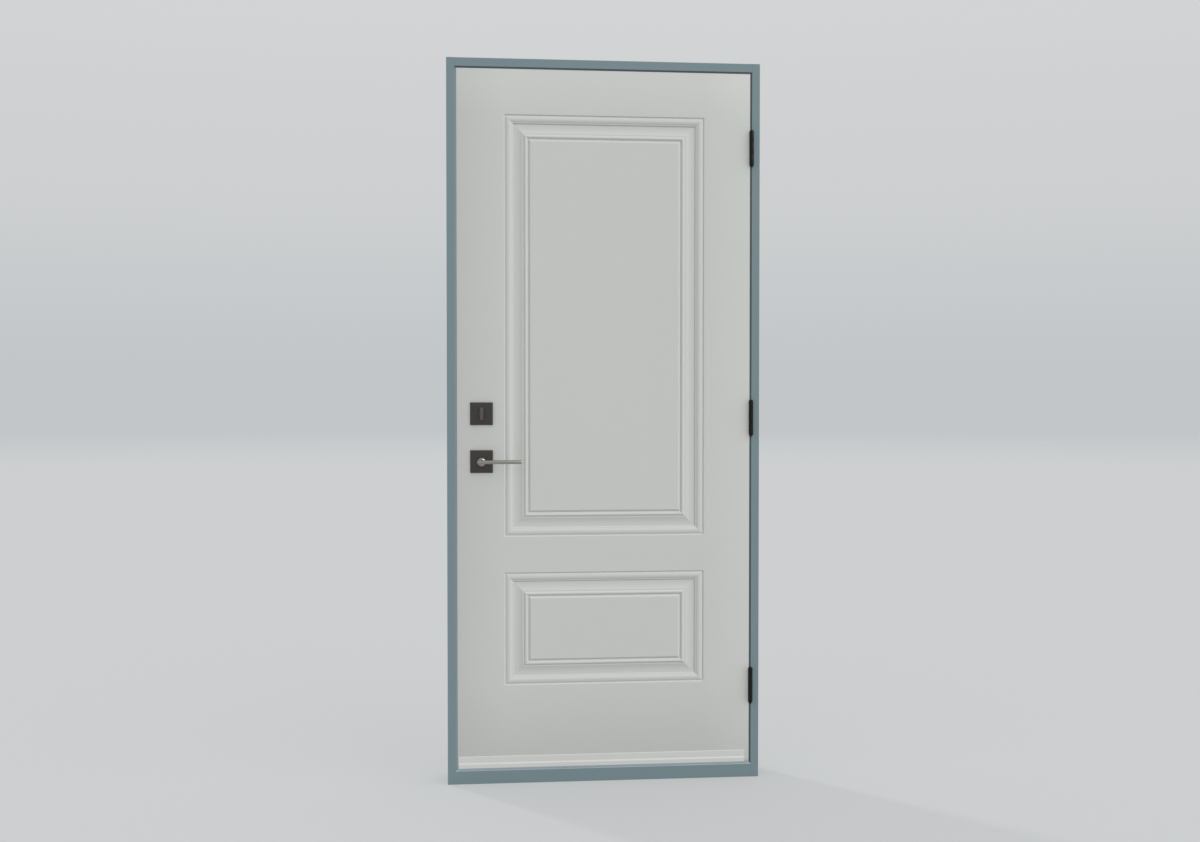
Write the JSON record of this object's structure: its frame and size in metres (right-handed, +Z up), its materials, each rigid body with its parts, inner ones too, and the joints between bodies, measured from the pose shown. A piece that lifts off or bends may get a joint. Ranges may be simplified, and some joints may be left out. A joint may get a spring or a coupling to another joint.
{
  "type": "panel door",
  "caption": "Single-leaf entry door with embossed panels in a painted frame with sill, swinging on butt hinges, with lever handles, a thumb turn and a sweep.",
  "frame": {"origin": "centre of the sill's underside", "axes": "+Z up, +X to the hinge side, -Y towards the side that the leaf opens to"},
  "size_m": [0.919, 0.1635, 2.11],
  "materials": {
    "frame_paint": "smooth satin blue-grey paint on wood",
    "sill_cap": "pale satin",
    "seal_rubber": "matt dark grey",
    "lip_rubber": "matt blue-grey",
    "leaf_paint": "smooth satin pale grey paint",
    "leaf_edge": "painted pale grey",
    "sweep_vinyl": "pale grey satin",
    "dark_metal": "black satin",
    "hinge_metal": "black gloss",
    "lever_metal": "satin dark nickel"
  },
  "bodies": {
    "frame": {"strike_jamb": "frame_paint", "strike_stop": "frame_paint", "strike_seal": "seal_rubber", "strike_lip_seal": "lip_rubber", "hinge_jamb": "frame_paint", "hinge_stop": "frame_paint", "hinge_seal": "seal_rubber", "hinge_lip_seal": "lip_rubber", "head_jamb": "frame_paint", "head_stop": "frame_paint", "head_seal": "seal_rubber", "head_lip_seal": "lip_rubber", "sill": "frame_paint", "sill_cap": "sill_cap", "latch_strike": "dark_metal", "deadbolt_strike": "dark_metal", "top_hinge_jamb_plate": "hinge_metal", "top_hinge_pin": "hinge_metal", "middle_hinge_jamb_plate": "hinge_metal", "middle_hinge_pin": "hinge_metal", "bottom_hinge_jamb_plate": "hinge_metal", "bottom_hinge_pin": "hinge_metal"},
    "leaf": {"front_skin": "leaf_paint", "back_skin": "leaf_paint", "hinge_stile": "leaf_edge", "lock_stile": "leaf_edge", "top_rail": "leaf_edge", "bottom_rail": "leaf_edge", "door_sweep": "sweep_vinyl", "top_hinge_leaf_plate": "hinge_metal", "middle_hinge_leaf_plate": "hinge_metal", "bottom_hinge_leaf_plate": "hinge_metal", "latch_faceplate": "dark_metal", "latch_bolt": "dark_metal", "deadbolt_faceplate": "dark_metal", "deadbolt_bolt": "dark_metal", "front_lever_rose": "dark_metal", "back_lever_rose": "dark_metal", "front_lock_rose": "dark_metal", "back_lock_rose": "dark_metal", "key_cylinder": "lever_metal"},
    "lever": {"front_lever": "lever_metal", "back_lever": "lever_metal", "lever_spindle": "lever_metal"},
    "turn": {"thumb_turn": "dark_metal"}
  },
  "joints": [
    {"name": "door_swing", "type": "hinge", "parent": "frame", "child": "leaf", "pos_m": [0.4335, -0.0652, 1.068], "axis": [0, 0, 1], "range_deg": [0, 170]},
    {"name": "lever_turn", "type": "hinge", "parent": "leaf", "child": "lever", "pos_m": [-0.36, -0.03325, 0.943], "axis": [0, 1, 0], "range_deg": [0, 45], "stiffness_Nm_per_rad": 1.2, "springref_deg": -34.38},
    {"name": "thumb_turn_lock", "type": "hinge", "parent": "leaf", "child": "turn", "pos_m": [-0.36, -0.0555, 1.082], "axis": [0, 1, 0], "range_deg": [0, 90]}
  ]
}
